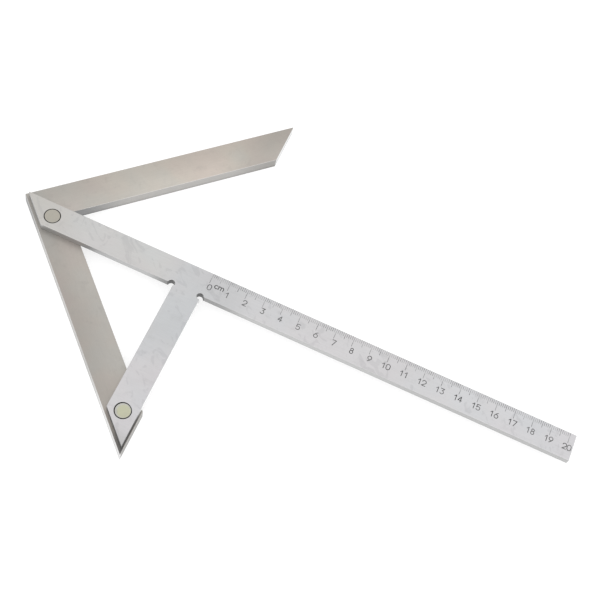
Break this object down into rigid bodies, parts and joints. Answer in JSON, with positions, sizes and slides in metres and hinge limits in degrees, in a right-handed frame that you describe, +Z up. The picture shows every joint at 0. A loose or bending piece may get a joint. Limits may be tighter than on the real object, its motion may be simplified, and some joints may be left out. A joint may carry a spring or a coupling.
{
  "type": "centring square",
  "caption": "Flat steel centring square: a graduated ruler with a strut, riveted on a right-angled V stock whose angle the ruler's edge bisects.",
  "frame": {"origin": "centre of the bounding box on the underside of the V stock, the face that lies on the table; Y = 0 is the ruler's graduated edge", "axes": "+X along the ruler, from the V's apex to the ruler's free end; +Y towards the leg of the V that carries no strut; +Z up, from the stock to the graduated face"},
  "size_m": [0.312, 0.218, 0.0105],
  "materials": {
    "blade_steel": "satin ground steel",
    "stock_steel": "fine ground steel, warmer and darker than the blade",
    "rivet_steel": "ground flush, matt",
    "rivet_brass": "ground flush, pale",
    "scale_ink": "matt dark filling of the engraved scale"
  },
  "bodies": {
    "root": {"v_stock": "stock_steel", "blade": "blade_steel", "apex_rivet": "rivet_steel", "strut_rivet": "rivet_brass"}
  },
  "joints": []
}
